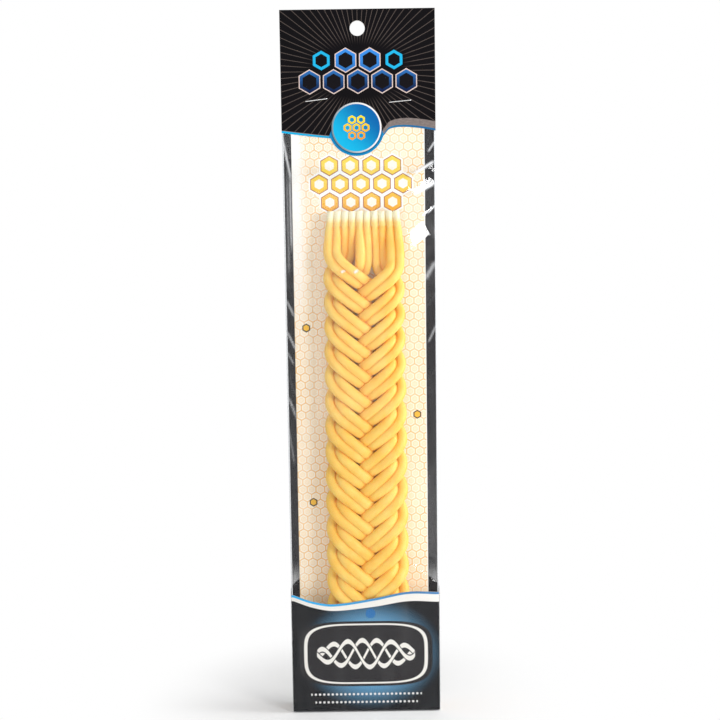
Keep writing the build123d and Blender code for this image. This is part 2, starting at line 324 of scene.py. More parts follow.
class Paint:
    """One material, with short ways to add its nodes. Its places are in millimetres."""

    def __init__(self, name):
        self.material = bpy.data.materials.new(name)
        self.material.use_nodes = True
        self.nodes = self.material.node_tree.nodes
        self.links = self.material.node_tree.links
        self.shader = self.nodes["Principled BSDF"]
        self.output = self.nodes["Material Output"]
        place = self.add("ShaderNodeTexCoord").outputs["Object"]
        scale = self.add("ShaderNodeVectorMath", operation="SCALE", Vector=place, Scale=1 / MM)
        self.place = scale.outputs["Vector"]
        split = self.add("ShaderNodeSeparateXYZ", Vector=self.place)
        self.x, self.y, self.z = (Value(self, socket) for socket in split.outputs)
        self.color = None

    def add(self, kind, operation=None, **values):
        """A node with values or links in the inputs that they name."""
        node = self.nodes.new(kind)
        if operation:
            node.operation = operation
        for name, value in values.items():
            self.feed(node.inputs[name], value)
        return node

    def feed(self, socket, value):
        """Link a value to a socket, or set the socket to it."""
        if isinstance(value, Value):
            value = value.socket
        if isinstance(value, bpy.types.NodeSocket):
            self.links.new(value, socket)
        else:
            socket.default_value = value

    def math(self, operation, *values):
        """One step of a formula."""
        node = self.nodes.new("ShaderNodeMath")
        node.operation = operation
        for socket, value in zip(node.inputs, values):
            self.feed(socket, value)
        return Value(self, node.outputs[0])

    def step(self, value, low, high):
        """Eased step from 0 at low to 1 at high."""
        node = self.nodes.new("ShaderNodeMapRange")
        node.interpolation_type = "SMOOTHSTEP"
        for name, setting in (("Value", value), ("From Min", low), ("From Max", high)):
            self.feed(node.inputs[name], setting)
        return Value(self, node.outputs["Result"])

    def under(self, value, limit, soft=0.12):
        """1 where a value is under a limit, with a soft edge."""
        return 1 - self.step(value - limit, -soft, soft)

    def between(self, value, low, high, soft=0.12):
        """1 where a value lies between two limits."""
        return self.under(low - value, 0.0, soft) * self.under(value, high, soft)

    def length(self, x, z):
        """Distance from the middle."""
        return self.math("SQRT", x * x + z * z)

    def mix(self, share, first, second):
        """Colour between two colours: sockets, or levels as they show on screen."""
        node = self.nodes.new("ShaderNodeMix")
        node.data_type = "RGBA"
        for index, value in ((0, share), (6, first), (7, second)):
            self.feed(node.inputs[index], srgb(*value) if isinstance(value, tuple) else value)
        return node.outputs[2]

    def over(self, share, color):
        """Lay a colour over what is there."""
        self.color = self.mix(share, self.color, color)

    def blend(self, share, first, second):
        """Shader between two shaders."""
        node = self.nodes.new("ShaderNodeMixShader")
        for socket, value in zip(node.inputs, (share, first.outputs[0], second.outputs[0])):
            self.feed(socket, value)
        return node

    def noise(self, scale, detail=3.0, stretch=(1, 1, 1)):
        """Cloudy number around 0.5, with features about 1 / scale millimetres wide."""
        mapping = self.add("ShaderNodeMapping", Vector=self.place, Scale=stretch)
        node = self.add("ShaderNodeTexNoise", Vector=mapping.outputs[0], Scale=scale, Detail=detail)
        return Value(self, node.outputs[0])

    def attribute(self, name):
        """Number that the mesh carries under a name."""
        node = self.nodes.new("ShaderNodeAttribute")
        node.attribute_name = name
        return Value(self, node.outputs["Fac"])

    def bump(self, height, strength, distance):
        """Relief of the given height field, with its distance in millimetres."""
        node = self.add("ShaderNodeBump", Height=height, Strength=strength, Distance=distance * MM)
        self.feed(self.shader.inputs["Normal"], node.outputs[0])

    def wrap(self, value, size):
        """Place in the nearest of a row of equal cells, from that cell's middle."""
        return value - self.math("ROUND", value / size) * size

    def ray(self, x, z, count):
        """Turn away from the nearest of a number of rays, as a share of the turn between two."""
        return abs(self.wrap(self.math("ARCTAN2", z, x) * (count / math.tau), 1.0))

    def hexagon(self, x, z):
        """Distance from the middle, with upright hexagons for circles."""
        x, z = abs(x), abs(z)
        return self.math("MAXIMUM", x, x * 0.5 + z * (math.sqrt(3) / 2))

    def hexagons(self, pitch, middle=(0.0, 0.0)):
        """Distance in from the wall, and the cell's middle, in a honeycomb of upright cells."""
        row = pitch * math.sqrt(3)
        x, z = self.x - middle[0], self.z - middle[1]
        ax, az = self.wrap(x, pitch), self.wrap(z, row)
        bx, bz = self.wrap(x - pitch / 2, pitch), self.wrap(z - row / 2, row)
        nearer = self.math("LESS_THAN", ax * ax + az * az, bx * bx + bz * bz)
        gx, gz = bx + (ax - bx) * nearer, bz + (az - bz) * nearer
        return pitch / 2 - self.hexagon(gx, gz), x - gx, z - gz

    def finish(self, **values):
        """Set the shader's colour, and its plain inputs, written with _ for spaces."""
        self.feed(self.shader.inputs["Base Color"], self.color)
        for name, value in values.items():
            self.feed(self.shader.inputs[name.replace("_", " ")], value)
        return self.material


BLACK_INK = (25, 23, 27)
WAX_TOP = TIP_Z - WICK_SHOW


def wax_material():
    """Honey-coloured beeswax, paler at the dipped tips, with painted shade of a deeper orange between
    strands, and a soft glow.
    """
    paint = Paint("beeswax")
    cloud = paint.noise(0.09)
    paint.color = paint.mix(paint.step(cloud, 0.3, 0.7), (255, 200, 88), (255, 212, 110))
    # Painted shade: a deeper orange where a strand lies close to another, for the shade and the light
    # bounced between strands
    paint.over(paint.attribute("painted_crevice_shade") * 0.8, (255, 168, 46))
    pale = paint.step(paint.z + (cloud - 0.5) * 3, WAX_TOP - 2, WAX_TOP + 3)
    paint.over(pale, (255, 216, 128))
    grain = paint.noise(0.55, 4.0, (1, 1, 0.45)) + paint.noise(4.0, 2.0) * 0.18
    paint.bump(grain, 0.2, 0.5)
    return paint.finish(Roughness=paint.noise(0.4, 2.0) * 0.25 + 0.33, Subsurface_Weight=0.4,
                        Subsurface_Radius=(1.0, 0.6, 0.25), Subsurface_Scale=0.003,
                        Specular_IOR_Level=0.35, IOR=1.44)


def wick_material():
    """Waxed cotton."""
    paint = Paint("waxed_wick")
    fibre = paint.noise(2.2, 3.0, (1, 1, 0.25))
    paint.color = paint.mix(fibre, (248, 234, 190), (255, 248, 222))
    paint.over(paint.step(paint.z, WAX_TOP + 6, WAX_TOP + 1), (255, 212, 118))
    paint.bump(fibre, 0.5, 0.3)
    return paint.finish(Roughness=0.5, Subsurface_Weight=0.3,
                        Subsurface_Radius=(1.0, 0.8, 0.5), Subsurface_Scale=0.002)


def steel_material():
    """Bright drawn wire."""
    paint = Paint("staple_steel")
    draw = paint.noise(1.5, 4.0, (0.15, 1, 1))
    paint.color = paint.mix(draw, (205, 205, 207), (240, 240, 240))
    paint.bump(draw, 0.15, 0.05)
    return paint.finish(Metallic=1.0, Roughness=draw * 0.25 + 0.15)


def paper_relief(paint, strength=0.12):
    """Fine fibres of card."""
    paint.bump(paint.noise(1.6, 5.0, (1, 1, 1.6)), strength, 0.08)


def board_material():
    """Unprinted side of the card."""
    paint = Paint("plain_board")
    fibre = paint.noise(0.9, 6.0, (1.5, 1, 1))
    fleck = paint.step(paint.noise(2.6, 2.0), 0.66, 0.75)
    paint.color = paint.mix(fibre, (214, 208, 197), (238, 234, 226))
    paint.over(fleck * 0.35, (160, 148, 130))
    paper_relief(paint, 0.2)
    return paint.finish(Roughness=0.75)


def core_material():
    """Cut edge of printed card."""
    paint = Paint("card_edge")
    layers = paint.noise(3.0)
    paint.color = paint.mix(layers, (150, 146, 142), (196, 192, 186))
    return paint.finish(Roughness=0.8)


HEADER_RAYS = 76
RAY_MIDDLE_Z = -25.0
TITLE_PITCH = 14.4  # cells in the title's place
TITLE_Z = -31.0
RIM_R = 14.9  # silver rim of the disc in the lobe
DISC_R = 14.0
CRESCENT_W = 2.8  # blue crescent under the disc
COMB_PITCH = 5.4  # cells on the disc


def header_material():
    """Black header print: fine rays, a honeycomb of blue cells, and the blue disc in the lobe."""
    paint = Paint("header_print")
    x, z = paint.x, paint.z
    mottle = paint.noise(0.25, 4.0)
    paint.color = paint.mix(mottle, (9, 8, 10), (17, 14, 18))

    # Rays around a dark middle
    dz = z - RAY_MIDDLE_Z
    aside = paint.ray(x, dz, HEADER_RAYS) * paint.length(x, dz) * (math.tau / HEADER_RAYS)
    line = paint.under(aside, 0.17, 0.14)
    halo = paint.step(paint.length(x / 40, dz / 24), 0.62, 0.95)
    paint.over(line * halo * 0.6, (112, 100, 94))

    # Cells of the title's place
    inside, cell_x, cell_z = paint.hexagons(TITLE_PITCH, (0.0, TITLE_Z))
    column = abs(cell_x) / TITLE_PITCH
    upper = paint.between(cell_z, 11.0, 14.0)
    chosen = paint.between(cell_z, -1.0, 1.0) * paint.under(column, 2.5) + upper * paint.under(column, 1.1)
    blue = paint.mix(paint.step(z, -38, -14), (14, 28, 66), (58, 138, 222))
    for wall, ink in ((0.8, (226, 204, 194)), (1.35, blue), (3.1, (18, 16, 20))):
        paint.over(chosen * paint.under(wall - inside, 0.0), ink)
    outer_pair = upper * paint.between(column, 1.1, 1.9)
    paint.over(outer_pair * paint.between(inside, 2.2, 3.8), (34, 178, 226))

    # Silver band and blue line along the front edge
    edge = paint.attribute("edge")
    band_top = 1.5 + 3.9 * paint.step(x, -12, 34)
    silver = paint.mix(paint.noise(0.5, 5.0, (1, 1, 3)), (82, 72, 70), (158, 146, 141))
    paint.over(paint.under(edge, band_top), silver)
    line_blue = paint.mix(paint.step(x, -46, 40), (18, 176, 228), (36, 104, 156))
    paint.over(paint.under(edge, 1.15), line_blue)

    # Disc in the lobe
    lx, lz = x - LOBE_X, z - LOBE_Z
    spoke = paint.length(lx, lz)
    crescent = paint.step(z, LEAF_LOW + 2.5, LEAF_LOW - 4.5)
    lobe = paint.under(spoke - crescent * CRESCENT_W, RIM_R)
    lobe_blue = paint.mix(paint.step(spoke, 14.6, 16.2), (10, 62, 100), (22, 134, 190))
    paint.over(lobe, lobe_blue)
    sheen = paint.step(lx * 0.75 + lz * 0.65, -14, 13)
    shine = paint.step(lx * 0.9 + lz * 0.3 + mottle * 6, -12, 14)
    rim = paint.mix(shine, (120, 138, 146), (244, 240, 238))
    paint.over(paint.under(spoke, RIM_R), rim)
    disc = paint.mix(sheen, (24, 180, 226), (14, 100, 168))
    paint.over(paint.under(spoke, DISC_R), disc)
    comb, comb_x, comb_z = paint.hexagons(COMB_PITCH, (LOBE_X, LOBE_Z))
    in_ring = paint.under(paint.length(comb_x, comb_z), 6.0)
    gold = paint.mix(paint.step(lz, -8, 8), (236, 150, 30), (252, 226, 40))
    paint.over(in_ring * paint.between(comb, 0.35, 1.45), gold)

    front = paint.under(paint.y, HEADER_LOW.y / 2, 0.02)
    paint.color = paint.mix(front, BLACK_INK, paint.color)
    paper_relief(paint)
    return paint.finish(Roughness=mottle * 0.2 + 0.42, Specular_IOR_Level=0.05)


PANEL_LEFT = -40.5
PANEL_RIGHT = 39.1
PANEL_PITCH = 5.35
AMBER_PITCH = 12.6  # cells over the candle's tips
AMBER_MIDDLE = (1.0, -91.5)
SPECKS = ((-33.5, -178), (33.5, -232), (-31, -286))


def panel_material():
    """Card face: a cream honeycomb panel between black margins, with amber cells over the tips."""
    paint = Paint("panel_print")
    x, z = paint.x, paint.z
    cloud = paint.noise(0.03, 2.0)
    paint.color = paint.mix(paint.step(z + cloud * 60, -330, -70), (254, 235, 206), (254, 238, 212))
    strength = 0.45 + 0.4 * paint.step(cloud, 0.35, 0.65)
    inside = paint.hexagons(PANEL_PITCH)[0]
    paint.over(paint.under(inside, 0.3, 0.18) * strength, (243, 184, 84))
    paint.over(paint.between(inside, 0.5, 1.05, 0.2) * 0.75, (255, 250, 240))
    paint.over(paint.between(inside, 1.15, 1.6, 0.2) * strength * 0.35, (248, 208, 138))
    fade = paint.step(x, -31, -38) * paint.step(z, -200, -110)
    paint.over(fade * 0.9, (255, 254, 250))

    # Amber cells
    amber, amber_x, amber_z = paint.hexagons(AMBER_PITCH, AMBER_MIDDLE)
    chosen = paint.between(amber_z, -12.0, 12.0) * paint.under(abs(amber_x), 27.0)
    honey = paint.mix(paint.step(z, -112, -82), (246, 176, 60), (255, 222, 92))
    inks = ((255, 253, 248), (168, 92, 74), honey, (255, 250, 238))
    for wall, ink in zip((-0.2, 1.0, 1.5, 3.6), inks):
        paint.over(chosen * paint.under(wall - amber, 0.0), ink)

    # Small dark cells strewn over the panel
    for speck_x, speck_z in SPECKS:
        speck = paint.hexagon(x - speck_x, z - speck_z)
        paint.over(paint.under(speck, 2.4), (58, 48, 40))
        paint.over(paint.under(speck, 1.7), (246, 190, 60))

    margin = 1 - paint.between(x, PANEL_LEFT, PANEL_RIGHT, 0.1)
    paint.over(margin, (22, 20, 24))
    edge = paint.between(x, PANEL_RIGHT - 0.3, PANEL_RIGHT + 0.25, 0.08)
    paint.over(edge, (250, 248, 246))
    paper_relief(paint)
    return paint.finish(Roughness=0.42, Specular_IOR_Level=0.15)


GLOW_X = 3.1
GLOW_RAYS = 130
FRAME_MIDDLE_Z = FLAP_TOP - 37.0
FRAME_X = 37.0
FRAME_Z = 18.6
PLAIT_X = 30.0  # half length of the plait ornament
PLAIT_Z = 8.5
PLAIT_WAVE = 27.0
BAND_DOT_Z = FLAP_TOP - 11.7
BEAD_ROWS = ((FLAP_TOP - 62.6, 34.0), (FLAP_TOP - 67.6, 31.5))
BEAD_PITCH = 2.6


def band_material():
    """Pocket flap: charcoal with a blue glow, a plait in a plain frame and a waved edge of two stripes."""
    paint = Paint("band_print")
    x, z = paint.x, paint.z - FRAME_MIDDLE_Z
    chalk, slate = (240, 236, 228), (44, 42, 44)
    mottle = paint.noise(0.2, 4.0)
    paint.color = paint.mix(mottle, (15, 16, 19), (27, 28, 32))
    ray = paint.ray(x - GLOW_X, z, GLOW_RAYS) * 2
    glow = 1 - paint.step(paint.length((x - GLOW_X) / 45, z / 36), 0.42, 1.02)
    paint.over(glow * (0.6 + ray * 0.35), (118, 184, 226))

    # Frame and the plait of three waves in it
    oval = paint.length(x * x / (FRAME_X * FRAME_X), z * z / (FRAME_Z * FRAME_Z))
    paint.over(paint.under(oval, 1.22, 0.03), slate)
    paint.over(paint.between(oval, 0.94, 1.05, 0.012), chalk)
    reach = paint.under(abs(x), PLAIT_X)
    swell = paint.math("SQRT", paint.math("MAXIMUM", 1 - x * x / (PLAIT_X * PLAIT_X), 0.0)) * PLAIT_Z
    for part in range(3):
        wave = paint.math("SINE", x * (math.tau / PLAIT_WAVE) + part * math.tau / 3) * swell
        for half_width, ink in ((2.3, slate), (1.5, chalk)):
            paint.over(paint.under(abs(z - wave), half_width) * reach, ink)

    # Rows of beads under the frame, and the blue dot over it
    for row_z, row_x in BEAD_ROWS:
        bead = paint.length(paint.wrap(x, BEAD_PITCH), paint.z - row_z)
        paint.over(paint.under(bead, 0.75) * paint.under(abs(x), row_x), (226, 224, 220))
    dot = paint.length(x - GLOW_X, paint.z - BAND_DOT_Z)
    paint.over(paint.under(dot, 3.0) * 0.8, (40, 112, 178))

    # Stripes along the waved edge
    drop = paint.attribute("drop")
    along = paint.step(paint.x, -44, 40)
    paint.over(paint.under(drop, 3.6 + 2.4 * along), (242, 237, 229))
    stripe = paint.mix(along, (52, 178, 236), (74, 132, 182))
    paint.over(paint.under(drop, 1.35), stripe)
    paper_relief(paint)
    return paint.finish(Roughness=0.36, Specular_IOR_Level=0.08)


def film_material():
    """Clear film: see-through, with gloss that grows at a slant, milky white where it is welded, and
    painted glare and glints laid on as white along creases.
    """
    paint = Paint("clear_film")
    slant = Value(paint, paint.add("ShaderNodeLayerWeight", Blend=0.5).outputs["Facing"])
    gloss_share = 0.011 + 0.5 * paint.math("POWER", slant, 3.0)
    # White where the film is welded, painted glare along creases, and a faint milky cloud all over
    haze_and_glare = paint.attribute("seam") * 0.3 + paint.step(paint.noise(0.1, 4.0, (1, 1, 0.2)), 0.45, 0.8) * 0.012
    clear = paint.add("ShaderNodeBsdfTransparent", Color=(0.985, 0.99, 0.995, 1))
    white = paint.add("ShaderNodeBsdfDiffuse", Color=(0.92, 0.93, 0.95, 1))
    gloss = paint.add("ShaderNodeBsdfGlossy", Color=(1, 1, 1, 1), Roughness=0.05)
    surface = paint.blend(gloss_share, paint.blend(haze_and_glare, clear, white), gloss)
    paint.feed(paint.output.inputs["Surface"], surface.outputs[0])
    paint.nodes.remove(paint.shader)
    return paint.material


# Candle

def fall(step):
    """Distance that the plait has come down from the wick tips."""
    return PLAIT_START + STEP_TOP * step + STEP_GROWTH / 2 * max(step, 0.0) ** 2


def spread(step):
    """Share of the way from the straight row to the plait."""
    return smooth(1 - step / WAX_STEP)


def pair_turn(pair, step):
    """Angle of a pair in its cycle from edge to edge and back."""
    late = (step - HOLD[pair]) / EASE
    gone = EASE * (max(late, 0.0) + math.log1p(math.exp(-abs(late))))
    return (HOLD[pair] + gone - PAIR_PHASE[pair]) * math.pi / PAIRS


def sway(pair, step):
    """Sideways place of a pair's middle."""
    share = math.asin(CORNER * math.cos(pair_turn(pair, step))) / math.asin(CORNER)
    return -SWING * share * (ROW_SHARE + (1 - ROW_SHARE) * spread(step))


def girth(pair, step, neck=NECK):
    """Diameter of a strand, which is squeezed by the neck's share where it dives."""
    taper = 1 - (1 - TIP_SHARE) * (1 - fall(step) / CANDLE_LENGTH) ** 2
    from_dive = pair_turn(pair, step) * PAIRS / math.pi % PAIRS - PAIRS / 2
    squeeze = neck * spread(step) * math.exp(-(from_dive / NECK_REACH) ** 2)
    return STRAND_D * taper * (1 - squeeze)


def strand_point(pair, side, step):
    """Point on a strand's centre line."""
    angle = pair_turn(pair, step)
    dive = math.sin(2 * angle + DIVE_LEAD * side * math.sin(angle))
    soft = DIVE_SOFT * (1 + DIVE_EDGE * math.cos(2 * angle))
    forward = DEPTH * spread(step) * dive * math.sqrt((1 + soft ** 2) / (dive ** 2 + soft ** 2))
    run = fall(step + NUDGE) - fall(step - NUDGE)
    slope = (sway(pair, step + NUDGE) - sway(pair, step - NUDGE)) / run
    half = side * (girth(pair, step) + STRAND_GAP) / 2 / math.hypot(1, slope)
    x = CANDLE_X + sway(pair, step) - half
    return Vector((x, CANDLE_Y - forward, TIP_Z - fall(step) - half * slope))


def strand_ring(pair, side, step, shape):
    """Ring of points across a strand; shape(angle) gives the radius."""
    middle = strand_point(pair, side, step)
    along = strand_point(pair, side, step + NUDGE) - strand_point(pair, side, step - NUDGE)
    first = Vector((0, 1, 0)).cross(along).normalized()
    second = along.normalized().cross(first)
    ring = []
    for angle in spaced(0, math.tau, RING_SIDES)[:-1]:
        ring.append(middle + (first * math.cos(angle) + second * math.sin(angle)) * shape(angle))
    return ring


def centre_points():
    """Points along the centre line of each strand, by its number."""
    lines = {}
    for number, pair, side in STRANDS:
        line = []
        step = WAX_STEP
        while not line or line[-1].z > FOOT_Z:
            line.append(strand_point(pair, side, step))
            step += RING_STEP
        lines[number] = line
    return lines


def crevice_shade_shares(number, points, lines):
    """How deep each point of a strand lies between strands, from 0 to 1, which sets its painted shade."""
    others = [point for other, line in lines.items() if other != number for point in line]
    tree = kdtree.KDTree(len(others))
    for index, point in enumerate(others):
        tree.insert(point, index)
    tree.balance()
    reach = STRAND_D / 2
    return [1 - ramp(tree.find(point)[2] - reach, 0.0, CREVICE_SHADE_REACH) for point in points]


def make_strand(number, pair, side, material, lines):
    """A wax strand, uneven as dipped wax is, that stands for one strand of the frame."""
    rings = []
    step = WAX_STEP
    while True:
        in_row = ramp(step, ROW_ENDS, ROW_STEPS)
        width = girth(pair, step, NECK * NECK_KEPT * (1 - in_row)) + 2 * PRESSED
        from_top = fall(step) - WICK_SHOW
        width += (WICK_TIP_D - width) * (1 - smooth((from_top + TOP_LIP) / TOP_TAPER)) * TOP_PINCH
        beside = SIDE_PRESSED + ROW_PRESSED * ramp(step, WAX_STEP + ROW_EASE, 0.0) * in_row

        def shape(angle):
            place = Vector((number * LUMP_SHIFT + math.cos(angle) * LUMP_ROUND,
                            math.sin(angle) * LUMP_ROUND, step * LUMP_ALONG))
            return width / 2 * (1 + LUMPS * noise.noise(place)) + beside * math.cos(angle) ** 2

        ring = strand_ring(pair, side, step, shape)
        ended = strand_point(pair, side, step).z < FOOT_Z
        for point in ring:
            point.y = min(max(point.y, WAX_NEAR), WAX_FAR)
            point.z = max(point.z, FOOT_Z)
        rings.append(ring)
        if ended:
            break
        step += RING_STEP
    points, faces = tube(rings)
    name = f"strand_{number:02d}"
    piece = new_piece("wax_" + name, points, faces, "candle", [material])
    # Painted shade between strands, which the wax's colour reads
    add_attribute(piece, "painted_crevice_shade", crevice_shade_shares(number, points, lines))
    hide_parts(name)


def make_wick(number, pair, side, material):
    """A wick, with its twisted, waxed tip over the strand."""
    rings = []
    rise = TIP_RISE * (1 - TIP_UNEVEN * abs(noise.noise(Vector((number * 5.1, 2.2, 0.3)))))
    steps = spaced(TIP_STEP, WAX_STEP + TIP_SUNK, TIP_ROWS)
    for step in steps:
        height = max(1 - fall(step) / WICK_SHOW, 0.0)
        width = WICK_TIP_D * (TIP_FULL - TIP_BLUNT * ramp(height, 0.9, 1.0))

        def shape(angle):
            ply = 1 + PLY_RELIEF * math.cos(PLIES * angle + height * PLY_TWIST + number)
            place = Vector((number * 4.9 + math.cos(angle) * 0.7, math.sin(angle) * 0.7, step * 3))
            return width / 2 * ply * (1 + FUZZ * noise.noise(place))

        ring = strand_ring(pair, side, step, shape)
        gather = (CANDLE_X - ring[0].x) * TIP_GATHER
        shift = Vector((gather * height, 0, rise * height))
        rings.append([point + shift for point in ring])
    step = steps[-1]
    while strand_point(pair, side, step).z > FOOT_Z + 1:
        step += WICK_RING_STEP
        rings.append(strand_ring(pair, side, step, lambda angle: WICK_D / 2))
    rings = [[Vector((point.x, point.y, max(point.z, FOOT_Z))) for point in ring] for ring in rings]
    points, faces = tube(rings)
    name = f"wick_{number:02d}"
    piece = new_piece("waxed_" + name, points, faces, "candle", [material])
    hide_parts(name)


def make_candle():
    """All strands and wicks."""
    wax, cotton = wax_material(), wick_material()
    lines = centre_points()
    for number, pair, side in STRANDS:
        make_strand(number, pair, side, wax, lines)
        make_wick(number, pair, side, cotton)


# Header card

# The front leaf's lower edge, over the lower corners
HEADER_EDGE_LEFT = ((-46, 0), (-32, -1.9), (-16, -3.7), (-10, -4))
HEADER_EDGE_RIGHT = ((12, -6), (15.3, -2), (18.5, 1.5), (27, 2.6), (38, 1.6), (46, 0.2))
LOBE_COLUMNS = 48
LEFT_COLUMNS = 24
RIGHT_COLUMNS = 26
LEAF_ROWS = 44
HEADER_FOLD_ROWS = 12
REAR_ROWS = 30
LEAF_WAVE = 0.12
REAR_WAVE = 0.05
WAVE_SCALE = 0.022
CROWN_HALF = 6.5  # half of a staple's crown
DENT = 0.22  # how far a staple presses the header in
DENT_SPREAD = 9.0
HOLE_SIDES = 64
CUT_REACH = 8.0  # the hole's cutter stands out this far


def leaf_edge(x):
    """Lower edge of the header's front leaf."""
    line = curve_at(HEADER_EDGE_LEFT if x < LOBE_X else HEADER_EDGE_RIGHT, x) + LEAF_LOW
    aside = abs(x - LOBE_X)
    if aside < LOBE_R:
        return min(line, LOBE_Z - math.sqrt(LOBE_R ** 2 - aside ** 2))
    return line


def sheet_wave(x, z, seed, reach):
    """Slight waviness of a sheet of card."""
    return reach * noise.noise(Vector((x * WAVE_SCALE, z * WAVE_SCALE, seed)))


def staple_dent(x, z):
    """How far the staples press the header in."""
    dent = 0.0
    for low, high in STAPLE_BOXES:
        across = max(abs(x - (low.x + high.x) / 2) - CROWN_HALF, 0.0)
        dent += DENT * math.exp(-(across ** 2 + (z - (low.z + high.z) / 2) ** 2) / DENT_SPREAD)
    return dent


def make_header():
    """Folded header: front leaf, fold over the top and rear leaf as one sheet, with the hang hole cut."""
    lobe_xs = [LOBE_X - LOBE_R * math.cos(angle) for angle in spaced(0, math.pi, LOBE_COLUMNS)]
    side_xs = spaced(-PACK_X, lobe_xs[0], LEFT_COLUMNS)[:-1]
    xs = side_xs + lobe_xs + spaced(lobe_xs[-1], PACK_X, RIGHT_COLUMNS)[1:]
    middle_r = FOLD_R - HEADER_T / 2
    fold_z = PACK_TOP - FOLD_R
    front_y, back_y = HEADER_LOW.y + HEADER_T / 2, HEADER_HIGH.y - HEADER_T / 2
    middle_y = (front_y + back_y) / 2
    rows = []
    for share in spaced(0, 1, LEAF_ROWS):
        row = []
        for x in xs:
            low = leaf_edge(x)
            z = low + (fold_z - low) * share
            wave = sheet_wave(x, z, 1.0, LEAF_WAVE) * (1 - share)
            row.append(Vector((x, front_y + wave + staple_dent(x, z), z)))
        rows.append(row)
    for angle in spaced(0, math.pi, HEADER_FOLD_ROWS)[1:-1]:
        y, z = middle_y - middle_r * math.cos(angle), fold_z + middle_r * math.sin(angle)
        rows.append([Vector((x, y, z)) for x in xs])
    for share in spaced(0, 1, REAR_ROWS):
        z = fold_z + (LEAF_LOW - fold_z) * share
        row = []
        for x in xs:
            wave = sheet_wave(x, z, 5.0, REAR_WAVE) * share ** 2
            row.append(Vector((x, back_y - wave - staple_dent(x, z), z)))
        rows.append(row)
    slot = {"outer": 0, "inner": 1, "rim": 2}
    points, faces, indices = sheet(rows, HEADER_T, lambda side, row, column: slot[side])
    materials = [header_material(), board_material(), core_material()]
    piece = new_piece("folded_header", points, faces, "pack", materials, indices)
    cut_hole(piece)
    edges = []
    for vertex in piece.data.vertices:
        place = vertex.co / MM
        edges.append(place.z - leaf_edge(place.x) if place.y < middle_y else PACK_X)
    add_attribute(piece, "edge", edges)
    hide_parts("header_card")


def cut_hole(piece):
    """Cut the round hang hole through both leaves."""
    angles = spaced(0, math.tau, HOLE_SIDES)[:-1]
    rings = []
    for y in (CUT_REACH, -CUT_REACH):
        rings.append([Vector((HOLE_R * math.cos(a), y, HOLE_R * math.sin(a))) for a in angles])
    points, faces = tube(rings)
    mesh = bpy.data.meshes.new("hole_cutter")
    mesh.from_pydata([point * MM for point in points], [], faces)
    mesh.materials.append(piece.data.materials[2])
    cutter = add_object("hole_cutter", mesh)
    modifier = piece.modifiers.new("hole", "BOOLEAN")
    modifier.operation = "DIFFERENCE"
    modifier.solver = "EXACT"
    modifier.object = cutter
    graph = bpy.context.evaluated_depsgraph_get()
    cut = bpy.data.meshes.new_from_object(piece.evaluated_get(graph))
    piece.modifiers.clear()
    piece.data = cut
    bpy.data.objects.remove(cutter)


# Insert card

# The flap's upper edge, over its left end
FLAP_EDGE = ((-44, 0), (-32, -3.9), (-19.4, -5.7), (5.8, -2.3), (22, 1), (31, 1.7), (44, 0.7))
CARD_COLUMNS = 60
PANEL_ROWS = 120
CARD_FOLD_ROWS = 6
BASE_ROWS = 8
FLAP_ROWS = 40
PRINT_TURN = 12  # rows before the flap that have its print
PANEL_WAVE = 0.1
FLAP_WAVE = 0.15
FLAP_BOW = 1.6  # the flap's upper corners lean back
BOW_FROM = 0.62
BOW_RUN = 0.144


def make_card():
    """Card: back panel, base under the candle and pocket flap as one folded sheet."""
    xs = spaced(-CARD_X, CARD_X, CARD_COLUMNS)
    panel_y = CARD_HIGH.y - CARD_T / 2
    flap_y = CARD_LOW.y + CARD_T / 2
    base_z = BASE_Z + CARD_T / 2
    r = CARD_FOLD_R
    rows, drops = [], []

    quarter = spaced(0, math.pi / 2, CARD_FOLD_ROWS)[1:]

    def add_row(y, z, wave=0.0):
        rows.append([Vector((x, y - abs(sheet_wave(x, z, 9.0, wave)), z)) for x in xs])
        drops.extend([CARD_X] * len(xs))

    for z in spaced(SHEET_TOP, base_z + r, PANEL_ROWS):
        add_row(panel_y, z, PANEL_WAVE)
    for angle in quarter:
        add_row(panel_y - r + r * math.cos(angle), base_z + r - r * math.sin(angle))
    for y in spaced(panel_y - r, flap_y + r, BASE_ROWS)[1:]:
        add_row(y, base_z)
    for angle in quarter:
        add_row(flap_y + r - r * math.sin(angle), base_z + r - r * math.cos(angle))
    first_flap_row = len(rows)
    low = base_z + r
    for share in spaced(0, 1, FLAP_ROWS)[1:]:
        row = []
        for x in xs:
            top = FLAP_TOP + curve_at(FLAP_EDGE, x)
            z = low + (top - low) * share
            bow = FLAP_BOW * max(abs(x) / CARD_X - BOW_FROM, 0) ** 2 / BOW_RUN * share
            row.append(Vector((x, flap_y + bow + abs(sheet_wave(x, z, 3.0, FLAP_WAVE)) * share, z)))
            drops.append(top - z)
        rows.append(row)

    def paint(side, row, column):
        if side == "rim":
            return 3
        on_flap = row >= first_flap_row - PRINT_TURN
        if side == "inner":
            return 0 if on_flap else 1
        return 2 if on_flap else 0

    points, faces, indices = sheet(rows, CARD_T, paint)
    materials = [board_material(), panel_material(), band_material(), core_material()]
    piece = new_piece("printed_card", points, faces, "pack", materials, indices)
    add_attribute(piece, "drop", drops + drops)
    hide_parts("insert_card")


# Sleeve

